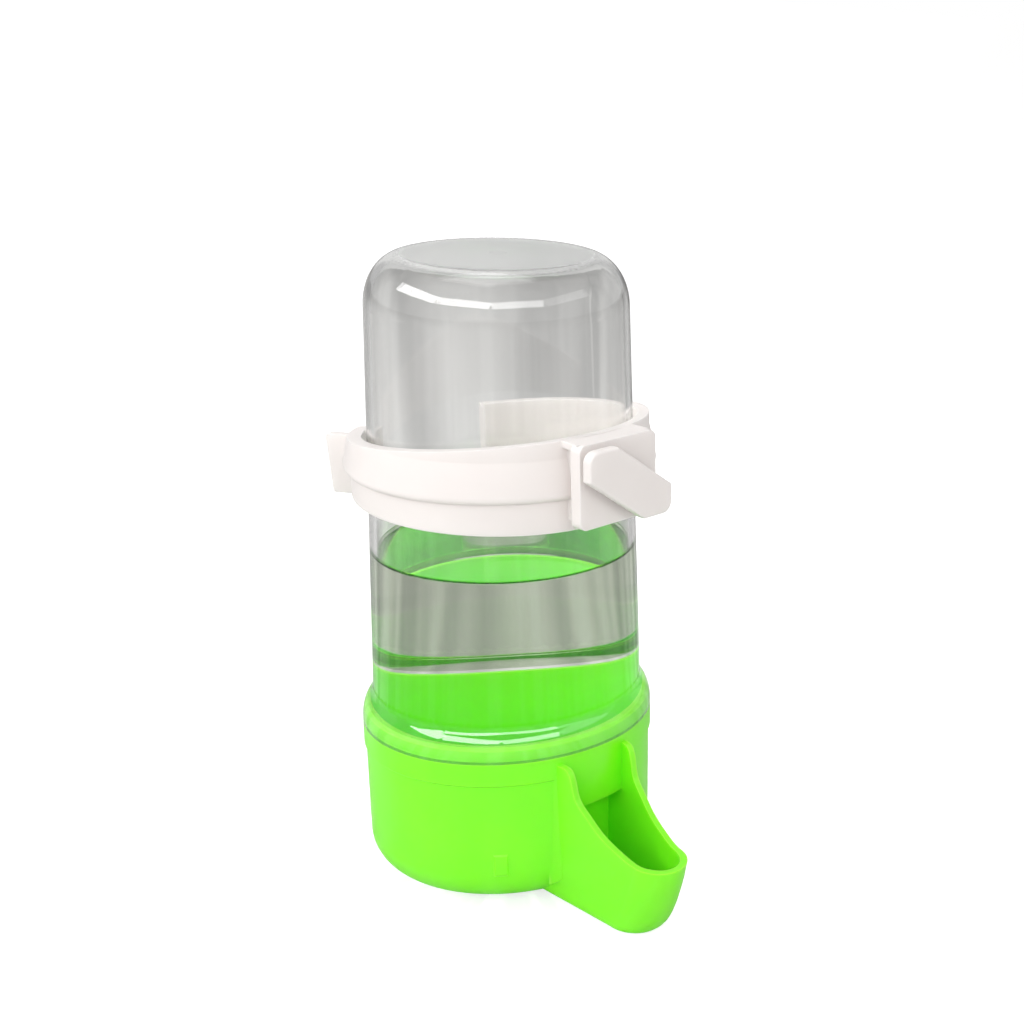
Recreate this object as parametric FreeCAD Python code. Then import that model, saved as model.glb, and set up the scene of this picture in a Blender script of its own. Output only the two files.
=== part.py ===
import FreeCAD, Part
import math
import os
from FreeCAD import Vector

# A hanging gravity drinker for small cages: a clear upside-down bottle pushed onto a green base cup
# with a drinking trough, held to the cage wires by an open clamp ring with a flat plate and a turn lever.
# Millimetres.  +Z is up.  The origin is the middle of the base cup's flat foot, on the bottle's axis.
# The clamp plate faces -Y, towards the cage.  The trough also points that way, twisted by base_twist.

# ---- heights above the foot ----
seam_z = 37.2            # where the bottle's open end rests on the base cup's rim
spigot_top_z = 40.1      # top of the neck that plugs into the bottle
collar_top_z = 38.4      # the bottle's wide collar is straight up to here
socket_top_z = 40.5      # the socket in the collar is straight up to here
shoulder_top_z = 44.4    # the collar has drawn in to the bottle's wall here
dome_start_z = 137.7     # the bottle's wall turns into its domed top
bottle_top_z = 149.6     # flat middle of the domed top
gate_nub_height = 0.4    # low moulding point left on the top, which ends the object at 150

# ---- bottle ----
bottle_wall = 1.5
collar_radius = 33.7
wall_radius_low = 31.2   # outside radius at shoulder_top_z
wall_radius_high = 29.35  # outside radius at dome_start_z: the wall tapers for moulding
dome_flat_radius = 20.5
gate_nub_radius = 2.0
shoulder_blend = 3.0     # radius of the hollow where the shoulder meets the wall

# ---- base cup ----
rim_radius = 33.7
rim_band_height = 5.4    # the thicker band under the seam
cup_radius_top = 33.25
cup_radius_low = 33.0
cup_bottom_round = 9.0
cup_wall = 1.7
cup_floor = 1.8
neck_radius = 31.3       # outside of the neck that plugs into the bottle
neck_clearance = 0.08    # radial gap between the neck and the bottle's socket
spigot_chamfer = 0.6
base_twist = -5.0        # degrees the base is turned on the bottle, away from the clamp plate

# ---- trough on the base cup, along its own -Y ----
trough_wall = 1.5
trough_half_width = 9.3      # outside, where the walls leave the cup
nose_half_width = 6.3        # outside, where the rounded nose begins
trough_top_z = 35.3          # tops of the side walls at the cup
wall_top_reach = 33.6        # the tops stay level out to this distance from the axis
lip_start_reach = 58.0       # the swept edge has levelled out here
lip_z = 16.2                 # height of the drinking lip
lip_fall = 0.04              # slope of the lip after that
sweep_shape = ((0.17, 0.62), (0.28, 0.46), (0.48, 0.24), (0.74, 0.075))  # share of the way out and up along the sweep
nose_start_reach = 56.0
nose_length = 7.5            # how long the rounded nose is, seen from above
nose_reach = 61.4         # how far the bow reaches from the axis, before the keel's slope tips it outwards
keel_start_reach = 24.4      # the underside leaves the foot here
keel_start_z = 0.02
keel_low_reach = 52.5        # lowest point of the underside
keel_low_z = -2.8
bow_height = 19.0            # the bow rises from the keel to its full reach over this height
bow_fullness = 0.42          # lower is blunter
trough_flare = 3.5           # hollow corner between the walls and the cup
flare_low_z = 3.0            # the flare's lower end, which is rounded like the cup's bottom
flare_low_round = 9.0
trough_edge_round = 2.2      # rounded lower edges
trough_slice_heights = (0, 0.1, 0.35, 0.8, 1.5, 2.4, 3.6, 5, 7, 9.5, 12.5, 16, 20, 45)  # over the keel
curtain_edge_z = 23.2        # the cup's wall hangs down between the trough walls to here

# ---- hood inside the cup, behind the trough's opening: its lower edge sets the trough's water level ----
hood_reach = 26.6        # inner face of its back wall
hood_half_width = 10.4
hood_low_z = 6.0
hood_wall = 1.5

# ---- small raised lug low on the cup ----
lug_angle = 39.3         # degrees round from the trough
lug_width = 3.4
lug_low_z = 8.4
lug_high_z = 14.1
lug_reach = 33.4

# ---- clamp ring ----
ring_inner_radius = 31.0
ring_outer_radius = 33.7
ring_low_z = 93.1        # lower edge at the middle of the ring
ring_low_slope = -0.034   # how fast the lower edge drops towards the plate
ring_high_z = 109.4      # upper edge at the middle of the ring
ring_high_slope = 0.12   # how fast the upper edge rises towards the plate
bead_radius = 35.2
bead_low_z = 99.6
bead_crest_z = 101.5
bead_high_z = 109.0
gap_half_angle = 31.0    # the ring is open at the back, this far each side of +Y
tab_reach = 41.7
tab_thickness = 2.0
tab_height = 14.4
tab_round = 0.8
tab_drop = 1.8           # the tab's top stands this far under the ring's upper edge
tab_sink = 0.6           # the tab's inner edge stands this far outside the ring's inner face
tab_slant = 1.3          # its outer edge leans in by this much towards the bottom

# ---- plate on the clamp ring ----
plate_face_reach = 38.9  # the face that bears on the cage wires
plate_thickness = 3.0
plate_width = 22.4
plate_height = 19.6
plate_mid_z = 103.5
plate_round = 1.8
web_inset = 2.2          # the two upright webs stand in from the plate's sides
web_thickness = 1.8
flange_thickness = 1.8   # web along the plate's top edge
flange_half_angle = 18.0  # where that web starts on the ring
stud_hole_radius = 3.05

# ---- turn lever ----
lever_gap = 2.05         # room for the cage wires between plate and lever
lever_thickness = 2.3
lever_half_length = 12.15
lever_half_height = 9.2
lever_end_top = 8.3      # length of the short level edges
lever_end_side = 6.7    # length of the short upright edges
lever_tip_round = 2.6
lever_edge_round = 0.5
stud_radius = 3.0
stud_head_radius = 3.75
stud_head_thickness = 0.9
stud_slot_width = 1.2

axis = Vector(0, 0, 1)


def revolve(points):
    """A full turn about Z of the closed outline through (radius, height) points, arcs given as mid, end."""
    edges = []
    start = Vector(points[0][0], 0, points[0][1])
    first = start
    for item in points[1:]:
        if isinstance(item[0], tuple):
            middle, end = (Vector(r, 0, z) for r, z in item)
            edges.append(Part.Arc(start, middle, end).toShape())
        else:
            end = Vector(item[0], 0, item[1])
            edges.append(Part.makeLine(start, end))
        start = end
    if start.distanceToPoint(first) > 1e-6:
        edges.append(Part.makeLine(start, first))
    face = Part.Face(Part.Wire(edges))
    return face.revolve(Vector(0, 0, 0), axis, 360)


def quarter_points(centre, across, up, start_degrees, end_degrees, count):
    """Points along an ellipse about centre, for a smooth outline through them."""
    points = []
    for index in range(count):
        angle = math.radians(start_degrees + (end_degrees - start_degrees) * index / (count - 1))
        points.append(Vector(centre[0] + across * math.cos(angle), 0, centre[1] + up * math.sin(angle)))
    return points


def half_ellipse_edge(centre, across, up):
    """A quarter of an ellipse in the XZ plane, from its widest point up to its top."""
    curve = Part.BSplineCurve()
    curve.interpolate(quarter_points(centre, across, up, 0, 90, 13),
                      InitialTangent=Vector(0, 0, 1), FinalTangent=Vector(-1, 0, 0))
    return curve.toShape()


def bottle_side(collar, collar_end_z, offset, low_z):
    """The bottle's outline from its open end to the middle of its top, with the wall moved inwards by offset."""
    low = wall_radius_low - offset
    high = wall_radius_high - offset
    flat = dome_flat_radius
    rise = shoulder_top_z - collar_end_z
    drop = collar - low
    arc_radius = (rise ** 2 + drop ** 2) / (2 * drop)
    middle_angle = math.asin(rise / arc_radius) / 2
    middle = Vector(collar - arc_radius * (1 - math.cos(middle_angle)), 0,
                    collar_end_z + arc_radius * math.sin(middle_angle))
    corner = Vector(collar, 0, collar_end_z)
    shoulder_end = Vector(low, 0, shoulder_top_z)
    dome_foot = Vector(high, 0, dome_start_z)
    crown = Vector(flat, 0, bottle_top_z - offset)
    return [
        Part.makeLine(Vector(collar, 0, low_z), corner),
        Part.Arc(corner, middle, shoulder_end).toShape(),
        Part.makeLine(shoulder_end, dome_foot),
        half_ellipse_edge((flat, dome_start_z), high - flat, bottle_top_z - offset - dome_start_z),
        Part.makeLine(crown, Vector(0, 0, bottle_top_z - offset)),
    ]


def solid_under(edges, low_z):
    """Turns an outline that starts at low_z and ends on the axis into a solid."""
    start = edges[0].Vertexes[0].Point
    top = Vector(0, 0, edges[-1].Vertexes[-1].Point.z)
    foot = Vector(0, 0, low_z)
    outline = edges + [Part.makeLine(top, foot), Part.makeLine(foot, start)]
    return Part.Face(Part.Wire(outline)).revolve(Vector(0, 0, 0), axis, 360)


def circles_near(shape, z, radius):
    """The round edges of shape at height z with this radius."""
    found = []
    for edge in shape.Edges:
        curve = edge.Curve
        if isinstance(curve, Part.Circle) and abs(curve.Center.z - z) < 0.05:
            if abs(curve.Radius - radius) < 0.05:
                found.append(edge)
    return found


def build_bottle():
    """Clear bottle: domed top, tapered wall, and a wider collar round its open lower end."""
    outside = solid_under(bottle_side(collar_radius, collar_top_z, 0, seam_z), seam_z)
    outside = outside.makeFillet(shoulder_blend, circles_near(outside, shoulder_top_z, wall_radius_low))
    socket_radius = neck_radius + neck_clearance
    below = seam_z - 1
    inside = solid_under(bottle_side(socket_radius, socket_top_z, bottle_wall, below), below)
    ball_radius = (gate_nub_radius ** 2 + gate_nub_height ** 2) / (2 * gate_nub_height)
    nub = Part.makeSphere(ball_radius, Vector(0, 0, bottle_top_z + gate_nub_height - ball_radius))
    return outside.fuse(nub).removeSplitter().cut(inside)


def cup_outline(shrink, floor_z):
    """Points of the cup's side and bottom, moved inwards by shrink, with its floor at floor_z."""
    bottom_round = cup_bottom_round - shrink
    low_radius = cup_radius_low - shrink
    flat_radius = low_radius - bottom_round
    diagonal = math.sqrt(0.5)
    corner = (flat_radius + bottom_round * diagonal, floor_z + bottom_round * (1 - diagonal))
    return flat_radius, [(corner, (low_radius, floor_z + bottom_round))]


def build_cup_body():
    """The cup's outside with its rim band, and the neck that plugs into the bottle."""
    flat_radius, corner = cup_outline(0, 0)
    band_z = seam_z - rim_band_height
    step = rim_radius - cup_radius_top
    return revolve([
        (0, 0), (flat_radius, 0), *corner,
        (cup_radius_top, band_z - step), (rim_radius, band_z), (rim_radius, seam_z),
        (neck_radius, seam_z), (neck_radius, spigot_top_z - spigot_chamfer),
        (neck_radius - spigot_chamfer, spigot_top_z), (0, spigot_top_z),
    ])


def build_cup_hollow():
    """The space inside the cup and its neck."""
    flat_radius, corner = cup_outline(cup_wall, cup_floor)
    neck_inside = neck_radius - cup_wall
    return revolve([(0, cup_floor), (flat_radius, cup_floor), *corner,
                    (neck_inside, spigot_top_z + 1), (0, spigot_top_z + 1)])


def bow_reach(height):
    """How far the trough's rounded bow reaches from the axis, at a height above its keel."""
    share = min(height / bow_height, 1.0)
    return keel_low_reach + (nose_reach - keel_low_reach) * share ** bow_fullness


def trough_slice(height, shrink):
    """Outline of the trough seen from above at a height over its keel, moved inwards by shrink."""
    edge_round = trough_edge_round - shrink / 2
    low = max(edge_round - height, 0.0)
    tuck = shrink + edge_round - math.sqrt(edge_round ** 2 - low ** 2)
    taper = (trough_half_width - nose_half_width) / (nose_start_reach - cup_radius_top)

    def half_width(reach):
        return trough_half_width - taper * (reach - cup_radius_top) - tuck

    tip = bow_reach(height + shrink) - shrink
    middle = Vector(0, nose_length - tip, height)
    side = middle + Vector(half_width(tip - nose_length), 0, 0)
    back = Vector(half_width(keel_start_reach), -keel_start_reach, height)
    nose = Part.Ellipse(Vector(0, -tip, height), side, middle)
    nose = Part.ArcOfEllipse(nose, -math.pi / 2, math.pi / 2).toShape()
    first = nose.Vertexes[0].Point
    last = nose.Vertexes[-1].Point
    first_back = Vector(math.copysign(back.x, first.x), back.y, height)
    last_back = Vector(math.copysign(back.x, last.x), back.y, height)
    return Part.Wire([
        Part.makeLine(first_back, first), nose,
        Part.makeLine(last, last_back), Part.makeLine(last_back, first_back),
    ])


def build_trough_form(shrink):
    """The boat-shaped form of the trough, without its swept upper edge; shrink gives the hollow inside it."""
    tops = [trough_slice(height, shrink) for height in trough_slice_heights]
    form = Part.makeLoft(tops, True, True)
    form.translate(Vector(0, 0, keel_low_z + shrink))
    slope = math.degrees(math.atan((keel_start_z - keel_low_z) / (keel_low_reach - keel_start_reach)))
    form.rotate(Vector(0, -keel_low_reach, keel_low_z), Vector(1, 0, 0), slope)
    return form


def build_above_rim():
    """Everything above the trough's edge, which sweeps down from the cup's rim to the drinking lip."""
    def at(reach, z):
        return Vector(0, -reach, z)

    far = nose_reach + 10
    high = 80.0
    wall_top = at(wall_top_reach, trough_top_z)
    lip_start = at(lip_start_reach, lip_z + 0.5)
    lip_end = at(far, lip_z + 0.5 - (far - lip_start_reach) * lip_fall)
    middle = [at(wall_top_reach + (lip_start_reach - wall_top_reach) * across,
                 lip_z + 0.5 + (trough_top_z - lip_z - 0.5) * up) for across, up in sweep_shape]
    sweep = Part.BSplineCurve()
    sweep.interpolate([wall_top, *middle, lip_start],
                      InitialTangent=Vector(0, -1, 0), FinalTangent=Vector(0, -1, -lip_fall))
    corners = [lip_end, at(far, high), at(0, high), at(0, trough_top_z), wall_top]
    edges = [sweep.toShape(), Part.makeLine(lip_start, lip_end)]
    edges += [Part.makeLine(start, end) for start, end in zip(corners, corners[1:])]
    width = 60.0
    face = Part.Face(Part.Wire(edges)).translated(Vector(-width / 2, 0, 0))
    return face.extrude(Vector(width, 0, 0))


def build_flare(side):
    """Fills the corner between one trough wall and the cup with a hollow curve; side is 1 or -1."""
    cup = cup_radius_top - 0.3
    wall = trough_half_width
    # the hollow's middle lies trough_flare outside both the wall's plane and the cup's circle
    centre_x = wall + trough_flare
    centre_y = -math.sqrt((cup + trough_flare) ** 2 - centre_x ** 2)
    centre = Vector(centre_x, centre_y, 0)
    on_wall = Vector(wall, centre_y, 0)
    on_cup = centre * (cup / centre.Length)
    between = centre + ((on_wall - centre) + (on_cup - centre)).normalize() * trough_flare
    root = Vector(wall - trough_wall / 2, on_cup.y + 1, 0)
    edges = [Part.Arc(on_cup, between, on_wall).toShape(),
             Part.makeLine(on_wall, Vector(root.x, centre_y, 0)),
             Part.makeLine(Vector(root.x, centre_y, 0), root), Part.makeLine(root, on_cup)]
    flare = Part.Face(Part.Wire(edges)).extrude(Vector(0, 0, trough_top_z))
    around_cup = Part.makeCylinder(cup_radius_top + trough_flare, trough_top_z, Vector(0, 0, flare_low_z))
    under = [edge for edge in around_cup.Edges if edge.CenterOfMass.z < flare_low_z + 0.01 and edge.Closed]
    flare = flare.common(around_cup.makeFillet(flare_low_round, under))
    return flare if side > 0 else flare.mirror(Vector(0, 0, 0), Vector(1, 0, 0))


def build_hood():
    """Block of the hood inside the cup, before the trough's channel hollows it out."""
    back = hood_reach - hood_wall
    top_z = curtain_edge_z + hood_wall
    hood = Part.makeBox(2 * hood_half_width, cup_radius_low - back, top_z - hood_low_z,
                        Vector(-hood_half_width, -cup_radius_low, hood_low_z))
    inside = Part.makeCylinder(cup_radius_low - cup_wall / 2, top_z)
    return hood.common(inside)


def build_channel():
    """The space inside the trough and the hood, open under the hood's back wall."""
    curtain = Part.makeCylinder(rim_radius, spigot_top_z + 10 - curtain_edge_z, Vector(0, 0, curtain_edge_z))
    size = 2 * hood_reach
    behind_hood = Part.makeBox(size, size, size, Vector(-size / 2, -hood_reach, hood_low_z))
    return build_trough_form(trough_wall).cut(curtain).cut(behind_hood)


def build_base_cup():
    """Green base: cup, neck, trough, hood and lug in one moulding."""
    trough = build_trough_form(0).fuse([build_flare(1), build_flare(-1)]).cut(build_above_rim())
    outside = build_cup_body().fuse(trough).removeSplitter()
    base = outside.cut(build_cup_hollow()).fuse([build_hood(), build_lug()]).cut(build_channel())
    base = base.removeSplitter()
    base.rotate(Vector(0, 0, 0), axis, base_twist)
    return base


def build_lug():
    """Small raised rectangle on the cup's lower curve."""
    depth = 4.0
    lug = Part.makeBox(lug_width, depth, lug_high_z - lug_low_z,
                       Vector(-lug_width / 2, -lug_reach, lug_low_z))
    lug = lug.makeFillet(0.6, [edge for edge in lug.Edges if edge.CenterOfMass.y < -lug_reach + 0.01])
    lug.rotate(Vector(0, 0, 0), axis, -lug_angle)
    return lug


def sloped_slab(middle_z, slope, thickness):
    """A wide slab whose lower face passes through middle_z on the axis and rises by slope towards -Y."""
    size = 200.0
    slab = Part.makeBox(size, size, thickness, Vector(-size / 2, -size / 2, 0))
    slab.rotate(Vector(0, 0, 0), Vector(1, 0, 0), -math.degrees(math.atan(slope)))
    slab.translate(Vector(0, 0, middle_z))
    return slab


def trim_ring(shape):
    """Cuts the ring's parts to its sloping upper and lower edges."""
    above = sloped_slab(ring_high_z, ring_high_slope, 60)
    below = sloped_slab(ring_low_z, ring_low_slope, 60)
    below.translate(Vector(0, 0, -60))
    return shape.cut(above).cut(below)


def build_band():
    """The open band with a rounded bead round its middle."""
    low = ring_low_z - 5
    high = ring_high_z + 5
    bulge = bead_radius - ring_outer_radius
    band = revolve([
        (ring_inner_radius, low), (ring_outer_radius, low), (ring_outer_radius, bead_low_z),
        ((ring_outer_radius + bulge * 0.75, bead_low_z + 0.5), (bead_radius, bead_crest_z)),
        ((ring_outer_radius + bulge * 0.55, (bead_crest_z + bead_high_z) / 2), (ring_outer_radius, bead_high_z)),
        (ring_outer_radius, high), (ring_inner_radius, high),
    ])
    return band


def build_opening_wedge():
    """The wedge that opens the ring at the back."""
    far = 80.0
    angle = math.radians(gap_half_angle)
    corners = [Vector(0, 0, 60), Vector(far * math.sin(angle), far * math.cos(angle), 60),
               Vector(-far * math.sin(angle), far * math.cos(angle), 60), Vector(0, 0, 60)]
    return Part.Face(Part.makePolygon(corners)).extrude(Vector(0, 0, 80))


def build_tab(side):
    """A finger tab that stands out from one open end of the ring; side is 1 or -1."""
    end_y = ring_outer_radius * math.cos(math.radians(gap_half_angle))
    top_z = ring_high_z - ring_high_slope * end_y - tab_drop
    low_z = top_z - tab_height
    root = ring_inner_radius + tab_sink
    outline = [Vector(0, root, low_z), Vector(0, tab_reach - tab_slant, low_z),
               Vector(0, tab_reach, top_z), Vector(0, root, top_z)]
    face = Part.Face(Part.makePolygon(outline + outline[:1]))
    tab = face.extrude(Vector(side * tab_thickness, 0, 0))
    outer = [edge for edge in tab.Edges
             if edge.CenterOfMass.y > tab_reach - tab_slant - 0.01
             and abs(edge.CenterOfMass.x - side * tab_thickness / 2) < 0.01]
    tab = tab.makeFillet(tab_round, outer)
    tab.rotate(Vector(0, 0, 0), axis, -side * gap_half_angle)
    return tab


def rounded_plate(width, height, thickness, radius, front_y, mid_z):
    """An upright plate facing -Y with rounded corners; its front is at front_y."""
    plate = Part.makeBox(width, thickness, height, Vector(-width / 2, front_y, mid_z - height / 2))
    corners = [edge for edge in plate.Edges if abs(edge.BoundBox.YLength - thickness) < 0.01
               and edge.BoundBox.XLength < 0.01 and edge.BoundBox.ZLength < 0.01]
    return plate.makeFillet(radius, corners)


def build_plate_flange():
    """The web along the plate's top edge, from the ring out to the plate's back."""
    start = math.radians(flange_half_angle)
    ring_x = (ring_outer_radius - 0.4) * math.sin(start)
    ring_y = -(ring_outer_radius - 0.4) * math.cos(start)
    half = plate_width / 2 - 0.6
    back_y = -plate_face_reach + plate_thickness / 2
    low_z = ring_high_z + ring_high_slope * ring_outer_radius - flange_thickness
    outline = [Vector(ring_x, ring_y, low_z), Vector(half, back_y, low_z), Vector(-half, back_y, low_z),
               Vector(-ring_x, ring_y, low_z), Vector(ring_x, ring_y, low_z)]
    flange = Part.Face(Part.makePolygon(outline)).extrude(Vector(0, 0, flange_thickness + 2))
    core = Part.makeCylinder(ring_outer_radius - 0.8, 40, Vector(0, 0, low_z - 10))
    top_trim = Part.makeBox(100, 100, 20, Vector(-50, -100, plate_mid_z + plate_height / 2))
    return flange.cut(core).cut(top_trim)


def build_plate_webs():
    """Two upright webs that carry the plate on the band, with room between them for the stud's head."""
    webs = []
    back_y = -plate_face_reach + plate_thickness / 2
    for side in (-1, 1):
        edge_x = side * (plate_width / 2 - web_inset)
        low_x = min(edge_x, edge_x - side * web_thickness)
        webs.append(Part.makeBox(web_thickness, -back_y - 30, plate_height - 2,
                                 Vector(low_x, back_y, plate_mid_z - plate_height / 2 + 1)))
    core = Part.makeCylinder(ring_outer_radius - 0.6, 60, Vector(0, 0, plate_mid_z - 30))
    return [web.cut(core) for web in webs]


def build_clamp_ring():
    """White open ring with its bead, finger tabs, plate and webs, in one moulding."""
    band = trim_ring(build_band().cut(build_opening_wedge()))
    back_y = -plate_face_reach + plate_thickness
    pocket_width = plate_width - 2 * (web_inset + web_thickness) + 0.2
    pocket_depth = 10.0
    pocket = Part.makeBox(pocket_width, pocket_depth, plate_height - 2 * flange_thickness,
                          Vector(-pocket_width / 2, back_y, plate_mid_z - plate_height / 2 + flange_thickness))
    pocket = pocket.cut(Part.makeCylinder(ring_outer_radius, 60, Vector(0, 0, plate_mid_z - 30)))
    plate = rounded_plate(plate_width, plate_height, plate_thickness, plate_round,
                          -plate_face_reach, plate_mid_z)
    ring = band.fuse([plate, trim_ring(build_plate_flange()), *build_plate_webs(),
                      build_tab(1), build_tab(-1)]).removeSplitter()
    hole = Part.makeCylinder(stud_hole_radius, plate_thickness + 1, Vector(0, back_y + 0.5, plate_mid_z),
                             Vector(0, -1, 0))
    return ring.cut(pocket).cut(hole)


def lever_outline(front_y):
    """The lever's six-sided outline, the same turned by half a turn, in an upright plane."""
    long, tall = lever_half_length, lever_half_height
    half = [(-long, tall - lever_end_side), (-long, tall), (-long + lever_end_top, tall)]
    corners = half + [(-x, -z) for x, z in half]
    return [Vector(x, front_y, plate_mid_z + z) for x, z in corners]


def build_turn_lever():
    """White lever with a stud that snaps through the plate's hole."""
    back_y = -plate_face_reach - lever_gap
    outline = lever_outline(back_y)
    bar = Part.Face(Part.makePolygon(outline + outline[:1])).extrude(Vector(0, -lever_thickness, 0))
    tips = []
    for edge in bar.Edges:
        centre = edge.CenterOfMass
        upright = abs(edge.BoundBox.YLength - lever_thickness) < 0.01 and edge.BoundBox.XLength < 0.01
        at_tip = abs(abs(centre.x) - lever_half_length) < 0.01 \
            and abs(abs(centre.z - plate_mid_z) - lever_half_height) < 0.01
        if upright and at_tip:
            tips.append(edge)
    bar = bar.makeFillet(lever_tip_round, tips)
    front = [edge for edge in bar.Edges if edge.BoundBox.YMax < back_y - lever_thickness + 0.01]
    bar = bar.makeFillet(lever_edge_round, front)
    plate_back = -plate_face_reach + plate_thickness
    stud_start = Vector(0, back_y, plate_mid_z)
    stud = Part.makeCylinder(stud_radius, plate_back - back_y + 0.1 + stud_head_thickness, stud_start,
                             Vector(0, 1, 0))
    head = Part.makeCylinder(stud_head_radius, stud_head_thickness, Vector(0, plate_back + 0.1, plate_mid_z),
                             Vector(0, 1, 0))
    slot = Part.makeBox(stud_slot_width, 20, 20, Vector(-stud_slot_width / 2, -plate_face_reach + 0.6,
                                                        plate_mid_z - 10))
    return bar.fuse([stud, head]).removeSplitter().cut(slot)


def save(node, shape):
    """Writes one node's solid to parts/node.step."""
    if len(shape.Solids) != 1 or not shape.isValid():
        raise ValueError(f"{node} has {len(shape.Solids)} solids, valid {shape.isValid()}")
    shape.Solids[0].exportStep(f"parts/{node}.step")
    print(node, [round(v, 2) for v in (shape.BoundBox.XLength, shape.BoundBox.YLength, shape.BoundBox.ZLength)])


os.makedirs("parts", exist_ok=True)
save("bottle", build_bottle())
save("base_cup", build_base_cup())
save("clamp_ring", build_clamp_ring())
save("turn_lever", build_turn_lever())
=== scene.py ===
import math

import bpy
from mathutils import Matrix, Vector


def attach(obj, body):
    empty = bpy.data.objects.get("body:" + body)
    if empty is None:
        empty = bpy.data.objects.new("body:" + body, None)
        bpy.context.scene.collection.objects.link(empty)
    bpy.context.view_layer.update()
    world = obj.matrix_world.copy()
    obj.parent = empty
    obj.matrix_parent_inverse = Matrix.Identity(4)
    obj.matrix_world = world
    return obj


# Looks of the cage drinker: clear bottle with water in it, green base with water in its trough,
# white clamp ring and lever. Metres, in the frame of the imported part: +Z up, the clamp plate faces -Y.

MM = 0.001

# ---- shapes of the water ----
WATER_LEVEL = 79.5 * MM       # in the bottle
WATER_FOOT = 40.6 * MM        # the bottle's water is modelled down to here, just above the base's neck
WATER_GAP = 0.02 * MM         # between the water and the bottle's wall
MENISCUS_RISE = 0.9 * MM      # how far the water is drawn up at the wall
MENISCUS_REACH = 1.6 * MM
MENISCUS_POWER = 2.5          # how steeply it flattens away from the wall
MENISCUS_STEPS = 6
LOOKS_UP = 0.05               # a face of the water whose normal has more Z than this meets the air
TROUGH_LEVEL = 5.6 * MM       # in the trough, just under the lower edge of the hood inside the cup
FILM_DEPTH = 0.3 * MM
TROUGH_REACHES = (26.8 * MM, 50.0 * MM)      # the film's straight sides, from the hood out to the nose
TROUGH_HALF_WIDTHS = (8.66 * MM, 5.64 * MM)  # half the film's width at each of those reaches
TROUGH_NOSE = 8.2 * MM        # how far the rounded nose stands out past the straight sides
NOSE_STEPS = 24
BASE_TWIST = -5.0             # degrees the base is turned on the bottle
ROUND_STEPS = 128             # round the bottle's water

# ---- the bottle, as far as the looks need it ----
SHOULDER_TOP = 45.0 * MM      # the wall widens towards the collar below here
FLAT_TOP = 149.6 * MM
BORE_LEAST = 25.0 * MM        # every upright part of the wall stands farther out than this

# ---- clear plastic ----
PLASTIC_INDEX = 1.5           # index of refraction
CLEAR_TINT = (0.985, 0.985, 0.982, 1.0)
CLEAR_SHADOW = (0.96, 0.96, 0.96, 1.0)
CLEAR_WAVES = 60.0            # patches per metre, as for every pattern on a piece
CLEAR_WAVE_STRENGTH = 0.04
SCUFFS = 900.0
SCUFF_DETAIL = 5.0
SCUFF_ROUGHNESS = (0.015, 0.07)
MILKY = (0.9, 0.9, 0.9, 1.0)
MILKY_DEPTHS = (0.25 * MM, 0.05 * MM)        # the flat top turns milky between these depths under it
MILKY_SHARE = 0.35
SHOULDER_BLEND = 1.0 * MM     # the painted highlight on the shoulder fades out over this height above and below its top
# painted highlight: share of extra mirror shine on the shoulder's outside, seen by the camera only
SHOULDER_HIGHLIGHT = 0.07
HIGHLIGHT_ROUGHNESS = 0.04

# ---- water ----
WATER_INDEX = 1.33            # index of refraction
WATER_TINT = (0.985, 0.99, 0.99, 1.0)
WATER_SHADOW = (0.97, 0.97, 0.97, 1.0)
WATER_SHADE_DARK = (0.50, 0.58, 0.44, 1.0)         # painted shade in the water: two depths of darkening, in upright streaks
WATER_SHADE_LIGHT = (0.64, 0.70, 0.58, 1.0)
STREAKS = 45.0
STREAK_STRETCH = (1.0, 1.0, 0.12)
UPRIGHT_LEAN = 0.5            # a face whose normal has less Z than this is upright
RIPPLES = 70.0
RIPPLE_STRENGTH = 0.03
NOT_TINTED = (1.0, 1.0, 1.0, 1.0)

# ---- moulded plastic: its main tone, its painted highlight on edges and its tone in the flow marks ----
GREEN = {"color": (0.23, 0.93, 0.012, 1.0),
         "edge_highlight_color": (0.30, 0.97, 0.03, 1.0),
         "flow_color": (0.21, 0.89, 0.012, 1.0),
         "roughness": 0.32,
         "glow": 0.5,
         "rounding": 0.0}
WHITE = {"color": (0.80, 0.755, 0.735, 1.0),
         "edge_highlight_color": (0.84, 0.80, 0.785, 1.0),
         "flow_color": (0.78, 0.735, 0.715, 1.0),
         "roughness": 0.35,
         "glow": 0.3,
         "rounding": 0.4 * MM}
MOULDED_INDEX = 1.49          # index of refraction
FLOW_MARKS = 45.0
FLOW_DETAIL = 3.0
MOULDED_WAVES = 90.0
MOULDED_WAVE_STRENGTH = 0.06
SHINE_PATCHES = 70.0
SHINE_LESS = 0.04             # the roughness varies between this much less and that much more
SHINE_MORE = 0.06
EDGE_WIDTH = 0.8 * MM
GLOW_DEPTH = 4.0 * MM         # how far light spreads inside the plastic
BEVEL_SAMPLES = 6
BUMP_HEIGHT = 1.0 * MM

# ---- camera, worked out from the round edges of the object; the object stands off the lens's middle ----
CAMERA_AZIMUTH = -39.2
CAMERA_DISTANCE = 409.8 * MM  # level distance from the bottle's axis
CAMERA_HEIGHT = 219.3 * MM
CAMERA_TURN = -18.29          # degrees the lens points to the side of the axis
CAMERA_PITCH = 15.86          # degrees it points down
CAMERA_ROLL = 3.62
LENS = 60.38                  # focal length and sensor width in millimetres
SENSOR = 36.0
SHIFT = (-0.5229, -0.0518)    # of the lens, in widths of the picture

# ---- floor: its tone changes in broad panels, which show through the clear bottle as upright bands ----
FLOOR_HEIGHT = -2.85 * MM     # just under the trough's keel
FLOOR_SIZE = 12.0
FLOOR_DARK = (0.44, 0.44, 0.44, 1.0)
FLOOR_LIGHT = (0.72, 0.72, 0.715, 1.0)
FLOOR_PANELS = 7.0
FLOOR_GLOW = 0.75

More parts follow.
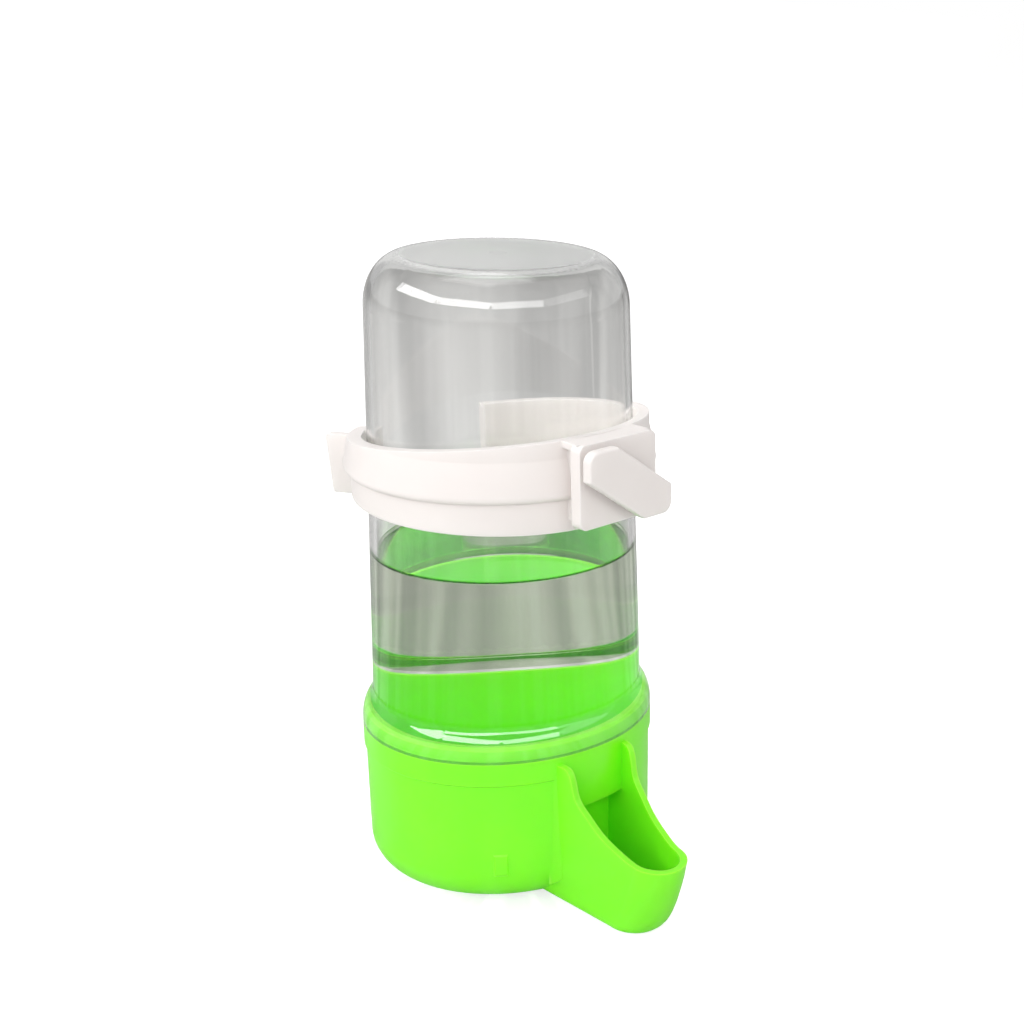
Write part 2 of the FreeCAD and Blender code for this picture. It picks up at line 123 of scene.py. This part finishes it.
# ---- lamps: azimuth and power of each wide box in the row round the front, and the box overhead ----
FRONT_LAMPS = ((-122.0, 5.5), (-72.0, 5.0), (-22.0, 3.6), (28.0, 1.0))
LAMP_DISTANCE = 1.1
LAMP_HEIGHT = 0.75
LAMP_SIZE = (1.0, 0.28)
OVERHEAD_PLACE = (0.0, 0.15, 1.2)
OVERHEAD_SIZE = (0.7, 0.7)
OVERHEAD_POWER = 3.0
LAMP_TARGET = (0.0, 0.0, 80.0 * MM)

# ---- the light all round, by what meets it ----
SEEN_WHITE = (1.0, 1.0, 1.0, 1.0)
ROUND_DARK = (0.53, 0.53, 0.53, 1.0)         # seen through or mirrored in plastic and water
ROUND_LIGHT = (0.79, 0.79, 0.785, 1.0)
ROUND_FILL = (0.56, 0.555, 0.55, 1.0)        # lights matt plastic
ROUND_STRETCH = (1.0, 1.0, 0.15)
ROUND_PANELS = 2.6


def add_node(tree, kind, settings=None, **inputs):
    """Adds a shader node, sets its properties, and fills its inputs with values or other nodes' outputs.

    An input is named by its own name with underscores for spaces, or by i and its number.
    """
    node = tree.nodes.new(kind)
    for name, value in (settings or {}).items():
        setattr(node, name, value)
    for name, value in inputs.items():
        key = int(name[1:]) if name[0] == "i" and name[1:].isdigit() else name.replace("_", " ")
        if isinstance(value, bpy.types.NodeSocket):
            tree.links.new(value, node.inputs[key])
        else:
            node.inputs[key].default_value = value
    return node


def math_node(tree, operation, first, second=0.0, third=0.0):
    """One number worked out from up to three."""
    settings = {"operation": operation}
    return add_node(tree, "ShaderNodeMath", settings, i0=first, i1=second, i2=third).outputs[0]


def stretched(tree, vector, factors):
    """A vector multiplied by a factor along each axis."""
    settings = {"operation": "MULTIPLY"}
    return add_node(tree, "ShaderNodeVectorMath", settings, i0=vector, i1=factors).outputs[0]


def dot(tree, first, second):
    """The dot product of two vectors."""
    settings = {"operation": "DOT_PRODUCT"}
    return add_node(tree, "ShaderNodeVectorMath", settings, i0=first, i1=second).outputs["Value"]


def height_of(tree, vector):
    """A vector's Z."""
    return add_node(tree, "ShaderNodeSeparateXYZ", Vector=vector).outputs["Z"]


def light_path(tree, name):
    """One of the facts about the ray that is being followed."""
    return add_node(tree, "ShaderNodeLightPath").outputs[name]


def bumped(tree, heights, strength):
    """The surface's normal, tilted by a pattern of heights."""
    bump = add_node(tree, "ShaderNodeBump", Height=heights, Strength=strength, Distance=BUMP_HEIGHT)
    return bump.outputs[0]


def bevelled(tree, width):
    """The surface's normal, rounded over its edges."""
    return add_node(tree, "ShaderNodeBevel", {"samples": BEVEL_SAMPLES}, Radius=width).outputs[0]


def new_material(name):
    """An empty node material and its tree."""
    material = bpy.data.materials.new(name)
    material.use_nodes = True
    material.node_tree.nodes.clear()
    return material, material.node_tree


def set_surface(tree, shader):
    """Makes shader the material's surface."""
    add_node(tree, "ShaderNodeOutputMaterial", Surface=shader)


def object_point(tree):
    """The shaded point in the part's own frame, so patterns stay on a body as it moves."""
    return add_node(tree, "ShaderNodeTexCoord").outputs["Object"]


def noise(tree, point, scale, detail=2.0):
    """Soft noise between 0 and 1 at a scale in patches per metre."""
    return add_node(tree, "ShaderNodeTexNoise", Vector=point, Scale=scale, Detail=detail).outputs["Fac"]


def ramp(tree, value, low, high, to_low=0.0, to_high=1.0):
    """Maps value from low..high to to_low..to_high, clamped and smooth."""
    node = add_node(tree, "ShaderNodeMapRange", {"interpolation_type": "SMOOTHSTEP"}, Value=value)
    node.inputs["From Min"].default_value = low
    node.inputs["From Max"].default_value = high
    node.inputs["To Min"].default_value = to_low
    node.inputs["To Max"].default_value = to_high
    return node.outputs["Result"]


def mix_color(tree, share, first, second):
    """Blends two colours: the node's inputs 6 and 7 and its output 2 are the ones for colours."""
    node = add_node(tree, "ShaderNodeMix", {"data_type": "RGBA"}, Factor=share)
    for index, value in ((6, first), (7, second)):
        if isinstance(value, bpy.types.NodeSocket):
            tree.links.new(value, node.inputs[index])
        else:
            node.inputs[index].default_value = value
    return node.outputs[2]


def mix_shader(tree, share, first, second):
    """Blends two shaders."""
    return add_node(tree, "ShaderNodeMixShader", i0=share, i1=first, i2=second).outputs[0]


def clear_for_shadows(tree, shader, tint):
    """Lets light through to what stands behind, tinted, in place of a black shadow."""
    transparent = add_node(tree, "ShaderNodeBsdfTransparent", Color=tint).outputs[0]
    return mix_shader(tree, light_path(tree, "Is Shadow Ray"), shader, transparent)


def clear_index(tree, point, height):
    """The clear plastic's index of refraction against what touches it: air, or water on the inner wall."""
    geometry = add_node(tree, "ShaderNodeNewGeometry").outputs
    outward = dot(tree, geometry["True Normal"], stretched(tree, point, (1.0, 1.0, 0.0)))
    front = math_node(tree, "MULTIPLY_ADD", geometry["Backfacing"], -2.0, 1.0)
    inner = math_node(tree, "LESS_THAN", math_node(tree, "MULTIPLY", outward, front), 0.0)
    under_water = math_node(tree, "LESS_THAN", height, WATER_LEVEL)
    wet = math_node(tree, "MULTIPLY", inner, under_water)
    return math_node(tree, "MULTIPLY_ADD", wet, PLASTIC_INDEX / WATER_INDEX - PLASTIC_INDEX, PLASTIC_INDEX)


def milk_over(tree, shader, height):
    """Lays a little milkiness over the bottle's flat top."""
    matt = add_node(tree, "ShaderNodeBsdfDiffuse", Color=MILKY).outputs[0]
    let_through = add_node(tree, "ShaderNodeBsdfTranslucent", Color=MILKY).outputs[0]
    start, full = MILKY_DEPTHS
    share = ramp(tree, height, FLAT_TOP - start, FLAT_TOP - full, 0.0, MILKY_SHARE)
    return mix_shader(tree, share, shader, mix_shader(tree, 0.5, matt, let_through))


def painted_highlight_over(tree, shader, height, normal):
    """Adds a painted highlight to the outside of the shoulder: extra mirror shine of the lamps, for camera
    rays only.
    """
    shoulder_highlight = add_node(tree, "ShaderNodeBsdfGlossy", Roughness=HIGHLIGHT_ROUGHNESS, Normal=normal).outputs[0]
    backfacing = add_node(tree, "ShaderNodeNewGeometry").outputs["Backfacing"]
    outside = math_node(tree, "SUBTRACT", 1.0, backfacing)
    seen = math_node(tree, "MULTIPLY", outside, light_path(tree, "Is Camera Ray"))
    above = SHOULDER_TOP + SHOULDER_BLEND
    below = SHOULDER_TOP - SHOULDER_BLEND
    share = math_node(tree, "MULTIPLY", ramp(tree, height, above, below, 0.0, SHOULDER_HIGHLIGHT), seen)
    return mix_shader(tree, share, shader, shoulder_highlight)


def make_clear_plastic():
    """Clear moulded plastic, faintly wavy and scuffed, milky on its flat top, with a painted highlight on its
    shoulder.
    """
    material, tree = new_material("clear_plastic")
    point = object_point(tree)
    height = height_of(tree, point)
    normal = bumped(tree, noise(tree, point, CLEAR_WAVES), CLEAR_WAVE_STRENGTH)
    scuffs = ramp(tree, noise(tree, point, SCUFFS, SCUFF_DETAIL), 0.55, 0.8, *SCUFF_ROUGHNESS)
    glass = add_node(tree, "ShaderNodeBsdfGlass", Color=CLEAR_TINT, Roughness=scuffs,
                     IOR=clear_index(tree, point, height), Normal=normal).outputs[0]
    moulded = painted_highlight_over(tree, milk_over(tree, glass, height), height, normal)
    set_surface(tree, clear_for_shadows(tree, moulded, CLEAR_SHADOW))
    return material


def edge_highlight_share(tree, width):
    """1 on sharp edges, 0 on flat faces, from how far a rounded normal leans from the true one."""
    true_normal = add_node(tree, "ShaderNodeNewGeometry").outputs["True Normal"]
    return ramp(tree, dot(tree, bevelled(tree, width), true_normal), 0.99, 0.8)


def make_moulded_plastic(name, color, edge_highlight_color, flow_color, roughness, glow, rounding):
    """Moulded plastic with a painted highlight on its edges, flow marks and uneven shine; rounding softens
    its sharp edges.
    """
    material, tree = new_material(name)
    point = object_point(tree)
    flow = ramp(tree, noise(tree, point, FLOW_MARKS, FLOW_DETAIL), 0.35, 0.7)
    tone = mix_color(tree, flow, flow_color, color)
    # painted highlight: sharp edges are given the lighter edge colour
    tone = mix_color(tree, edge_highlight_share(tree, EDGE_WIDTH), tone, edge_highlight_color)
    normal = bumped(tree, noise(tree, point, MOULDED_WAVES, 0.0), MOULDED_WAVE_STRENGTH)
    if rounding:
        tree.links.new(bevelled(tree, rounding), normal.node.inputs["Normal"])
    shine = noise(tree, point, SHINE_PATCHES, 0.0)
    shine = ramp(tree, shine, 0.3, 0.7, roughness - SHINE_LESS, roughness + SHINE_MORE)
    surface = add_node(tree, "ShaderNodeBsdfPrincipled", Base_Color=tone, Roughness=shine, Normal=normal,
                       IOR=MOULDED_INDEX, Subsurface_Weight=glow, Subsurface_Radius=(1.0, 1.0, 1.0),
                       Subsurface_Scale=GLOW_DEPTH)
    set_surface(tree, surface.outputs[0])
    return material


def make_water_surface():
    """The face between air and water."""
    material, tree = new_material("water_surface")
    ripples = bumped(tree, noise(tree, object_point(tree), RIPPLES), RIPPLE_STRENGTH)
    glass = add_node(tree, "ShaderNodeBsdfGlass", Color=WATER_TINT, Roughness=0.0,
                     IOR=WATER_INDEX, Normal=ripples).outputs[0]
    set_surface(tree, clear_for_shadows(tree, glass, WATER_SHADOW))
    return material


def make_water_side():
    """Where water lies against the plastic: the plastic's own material bends the light there.

    Sight lines that leave through the far wall are dimmed in soft upright streaks, a painted shade for the
    darker surroundings seen through the water.
    Those that end inside aren't.
    """
    material, tree = new_material("water_side")
    streaks = noise(tree, stretched(tree, object_point(tree), STREAK_STRETCH), STREAKS)
    # painted shade: darker and lighter streaks of tint where sight lines leave the water
    painted_shade = mix_color(tree, ramp(tree, streaks, 0.35, 0.65), WATER_SHADE_DARK, WATER_SHADE_LIGHT)
    geometry = add_node(tree, "ShaderNodeNewGeometry").outputs
    lean = math_node(tree, "ABSOLUTE", height_of(tree, geometry["True Normal"]))
    upright = math_node(tree, "LESS_THAN", lean, UPRIGHT_LEAN)
    leaving = math_node(tree, "MULTIPLY", geometry["Backfacing"], upright)
    sight_line = math_node(tree, "SUBTRACT", 1.0, light_path(tree, "Is Shadow Ray"))
    leaving = math_node(tree, "MULTIPLY", leaving, sight_line)
    tint = mix_color(tree, leaving, NOT_TINTED, painted_shade)
    set_surface(tree, add_node(tree, "ShaderNodeBsdfTransparent", Color=tint).outputs[0])
    return material


def build_piece(name, points, faces):
    """A mesh object in the scene."""
    mesh = bpy.data.meshes.new(name)
    mesh.from_pydata(points, [], faces)
    piece = bpy.data.objects.new(name, mesh)
    bpy.context.scene.collection.objects.link(piece)
    return piece


def build_revolved(name, outline):
    """A closed mesh turned about Z from (radius, height) points that start and end on the axis."""
    rings = outline[1:-1]
    points = [(0.0, 0.0, outline[0][1]), (0.0, 0.0, outline[-1][1])]
    first_ring = len(points)
    for radius, height in rings:
        for step in range(ROUND_STEPS):
            angle = 2 * math.pi * step / ROUND_STEPS
            points.append((radius * math.cos(angle), radius * math.sin(angle), height))
    last_ring = len(points) - ROUND_STEPS
    faces = []
    for step in range(ROUND_STEPS):
        after = (step + 1) % ROUND_STEPS
        faces.append((0, first_ring + after, first_ring + step))
        for low in range(first_ring, last_ring, ROUND_STEPS):
            high = low + ROUND_STEPS
            faces.append((low + step, low + after, high + after, high + step))
        faces.append((1, last_ring + step, last_ring + after))
    piece = build_piece(name, points, faces)
    piece.data.shade_smooth()
    return piece


def wall_inside(height):
    """Radius of the bottle's inner wall at a height, read from the CAD bottle's own mesh."""
    inner = {}
    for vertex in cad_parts["bottle"].data.vertices:
        level = round(vertex.co.z / MM, 1)
        radius = math.hypot(vertex.co.x, vertex.co.y)
        inner[level] = min(radius, inner.get(level, radius))
    levels = [level for level, radius in inner.items() if radius > BORE_LEAST]
    wanted = round(height / MM, 1)
    below = max(level for level in levels if level <= wanted)
    above = min(level for level in levels if level >= wanted)
    if above == below:
        return inner[below]
    share = (wanted - below) / (above - below)
    return inner[below] * (1 - share) + inner[above] * share


def build_bottle_water(surface, side):
    """The water that stands in the bottle, with its edge drawn up a little at the wall."""
    top_radius = wall_inside(WATER_LEVEL) - WATER_GAP
    low_radius = wall_inside(SHOULDER_TOP) - WATER_GAP
    outline = [(0.0, WATER_FOOT), (low_radius, WATER_FOOT), (low_radius, SHOULDER_TOP)]
    for step in range(MENISCUS_STEPS + 1):
        share = step / MENISCUS_STEPS
        rise = MENISCUS_RISE * (1 - share) ** MENISCUS_POWER
        outline.append((top_radius - MENISCUS_REACH * share, WATER_LEVEL + rise))
    outline.append((0.0, WATER_LEVEL))
    water = build_revolved("bottle_water", outline)
    water.data.materials.append(side)
    water.data.materials.append(surface)
    for face in water.data.polygons:
        if face.normal.z > LOOKS_UP:
            face.material_index = 1
    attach(water, "bottle")


def build_trough_water(surface):
    """The still water in the open trough: a thin film inside the trough's walls, rounded at the nose."""
    near_half, far_half = TROUGH_HALF_WIDTHS
    near, far = TROUGH_REACHES
    outline = [(near_half, -near)]
    for step in range(NOSE_STEPS + 1):
        angle = math.pi * step / NOSE_STEPS
        outline.append((far_half * math.cos(angle), -far - TROUGH_NOSE * math.sin(angle)))
    outline.append((-near_half, -near))
    points = [(x, y, z) for z in (TROUGH_LEVEL, TROUGH_LEVEL - FILM_DEPTH) for x, y in outline]
    count = len(outline)
    top = tuple(range(count))
    bottom = tuple(range(2 * count - 1, count - 1, -1))
    faces = [top, bottom]
    for here in range(count):
        after = (here + 1) % count
        faces.append((here, count + here, count + after, after))
    water = build_piece("trough_water", points, faces)
    water.data.transform(Matrix.Rotation(math.radians(BASE_TWIST), 4, "Z"))
    water.data.materials.append(surface)
    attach(water, "base")


def aim(thing, position, target, roll_degrees=0.0):
    """Places a camera or light at position, looking at target."""
    forward = (Vector(target) - Vector(position)).normalized()
    right = forward.cross(Vector((0, 0, 1))).normalized()
    up = right.cross(forward)
    roll = math.radians(roll_degrees)
    tipped_right = right * math.cos(roll) + up * math.sin(roll)
    tipped_up = up * math.cos(roll) - right * math.sin(roll)
    turn = Matrix((tipped_right, tipped_up, -forward)).transposed().to_4x4()
    thing.matrix_world = Matrix.Translation(position) @ turn


def around(azimuth, distance, height):
    """A point at an azimuth seen from the front, a level distance from the axis and a height."""
    angle = math.radians(azimuth)
    return Vector((math.sin(angle) * distance, -math.cos(angle) * distance, height))


def shift_from_here(camera):
    """Shifts the lens while the camera stands where it is now, and centres it anywhere else."""
    here = camera.matrix_world.translation
    for name, shift in zip(("shift_x", "shift_y"), SHIFT):
        driver = camera.data.driver_add(name).driver
        place = driver.variables.new()
        place.name = "x"
        place.type = "TRANSFORMS"
        place.targets[0].id = camera
        place.targets[0].transform_type = "LOC_X"
        driver.expression = f"{shift} if abs(x - {here.x:.6f}) < {MM} else 0.0"


def add_camera():
    """The camera, where the object was seen from."""
    data = bpy.data.cameras.new("camera")
    data.lens = LENS
    data.sensor_width = SENSOR
    camera = bpy.data.objects.new("camera", data)
    bpy.context.scene.collection.objects.link(camera)
    position = around(CAMERA_AZIMUTH, CAMERA_DISTANCE, CAMERA_HEIGHT)
    heading = math.radians(CAMERA_AZIMUTH + CAMERA_TURN)
    pitch = math.radians(CAMERA_PITCH)
    level = Vector((-math.sin(heading), math.cos(heading), 0.0))
    ahead = level * math.cos(pitch) - Vector((0.0, 0.0, math.sin(pitch)))
    aim(camera, position, position + ahead, CAMERA_ROLL)
    shift_from_here(camera)
    bpy.context.scene.camera = camera


def add_softbox(name, position, size, power):
    """A large soft lamp that points at the object."""
    data = bpy.data.lights.new(name, "AREA")
    data.shape = "RECTANGLE"
    data.size, data.size_y = size
    data.energy = power
    lamp = bpy.data.objects.new(name, data)
    bpy.context.scene.collection.objects.link(lamp)
    aim(lamp, position, LAMP_TARGET)


def add_lights():
    """Soft studio light: a low row of wide boxes round the front, strongest on the left, and one overhead."""
    for azimuth, power in FRONT_LAMPS:
        add_softbox("front", around(azimuth, LAMP_DISTANCE, LAMP_HEIGHT), LAMP_SIZE, power)
    add_softbox("overhead", OVERHEAD_PLACE, OVERHEAD_SIZE, OVERHEAD_POWER)


def lights_matt(tree):
    """1 for light on its way to a matt surface, 0 for what is seen straight, mirrored or through plastic."""
    return math_node(tree, "GREATER_THAN", light_path(tree, "Diffuse Depth"), 0.5)


def add_world():
    """Even light from all round: white where the camera sees it, soft grey panels through the plastic."""
    world = bpy.data.worlds.new("studio")
    bpy.context.scene.world = world
    world.use_nodes = True
    tree = world.node_tree
    tree.nodes.clear()
    direction = add_node(tree, "ShaderNodeNewGeometry").outputs["Incoming"]
    panels = noise(tree, stretched(tree, direction, ROUND_STRETCH), ROUND_PANELS, 0.0)
    color = mix_color(tree, ramp(tree, panels, 0.42, 0.58), ROUND_DARK, ROUND_LIGHT)
    color = mix_color(tree, lights_matt(tree), color, ROUND_FILL)
    color = mix_color(tree, light_path(tree, "Is Camera Ray"), color, SEEN_WHITE)
    light = add_node(tree, "ShaderNodeBackground", Color=color, Strength=1.0).outputs[0]
    add_node(tree, "ShaderNodeOutputWorld", Surface=light)


def add_floor():
    """A plain pale floor lit from under, as on a photographer's table; through the bottle it looks greyer."""
    half = FLOOR_SIZE / 2
    corners = [(-half, -half, 0), (half, -half, 0), (half, half, 0), (-half, half, 0)]
    floor = build_piece("floor", corners, [(0, 1, 2, 3)])
    floor.location.z = FLOOR_HEIGHT
    material, tree = new_material("floor")
    settings = {"operation": "NORMALIZE"}
    outward = add_node(tree, "ShaderNodeVectorMath", settings, i0=object_point(tree)).outputs[0]
    panels = ramp(tree, noise(tree, outward, FLOOR_PANELS, 1.0), 0.38, 0.62)
    color = mix_color(tree, panels, FLOOR_DARK, FLOOR_LIGHT)
    color = mix_color(tree, lights_matt(tree), color, FLOOR_LIGHT)
    matt = add_node(tree, "ShaderNodeBsdfDiffuse", Color=color).outputs[0]
    glow = add_node(tree, "ShaderNodeEmission", Strength=FLOOR_GLOW).outputs[0]
    bright = add_node(tree, "ShaderNodeAddShader", i0=matt, i1=glow).outputs[0]
    set_surface(tree, mix_shader(tree, light_path(tree, "Is Camera Ray"), matt, bright))
    floor.data.materials.append(material)
    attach(floor, "base")  # so that it stays under the base wherever the joints take it


def dress(node, material):
    """Gives a CAD node its material."""
    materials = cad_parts[node].data.materials
    materials.clear()
    materials.append(material)


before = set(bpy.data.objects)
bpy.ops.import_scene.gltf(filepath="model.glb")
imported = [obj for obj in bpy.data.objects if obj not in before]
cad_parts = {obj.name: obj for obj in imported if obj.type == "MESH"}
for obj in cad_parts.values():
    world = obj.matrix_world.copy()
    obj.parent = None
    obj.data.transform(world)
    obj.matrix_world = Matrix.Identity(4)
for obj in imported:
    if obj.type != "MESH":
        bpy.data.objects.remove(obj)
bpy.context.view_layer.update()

dress("bottle", make_clear_plastic())
dress("base_cup", make_moulded_plastic("green_plastic", **GREEN))
white = make_moulded_plastic("white_plastic", **WHITE)
dress("clamp_ring", white)
dress("turn_lever", white)
water_surface = make_water_surface()
water_side = make_water_side()
build_bottle_water(water_surface, water_side)
build_trough_water(water_surface)

add_camera()
add_lights()
add_world()
add_floor()
bpy.context.scene.view_settings.view_transform = "Standard"
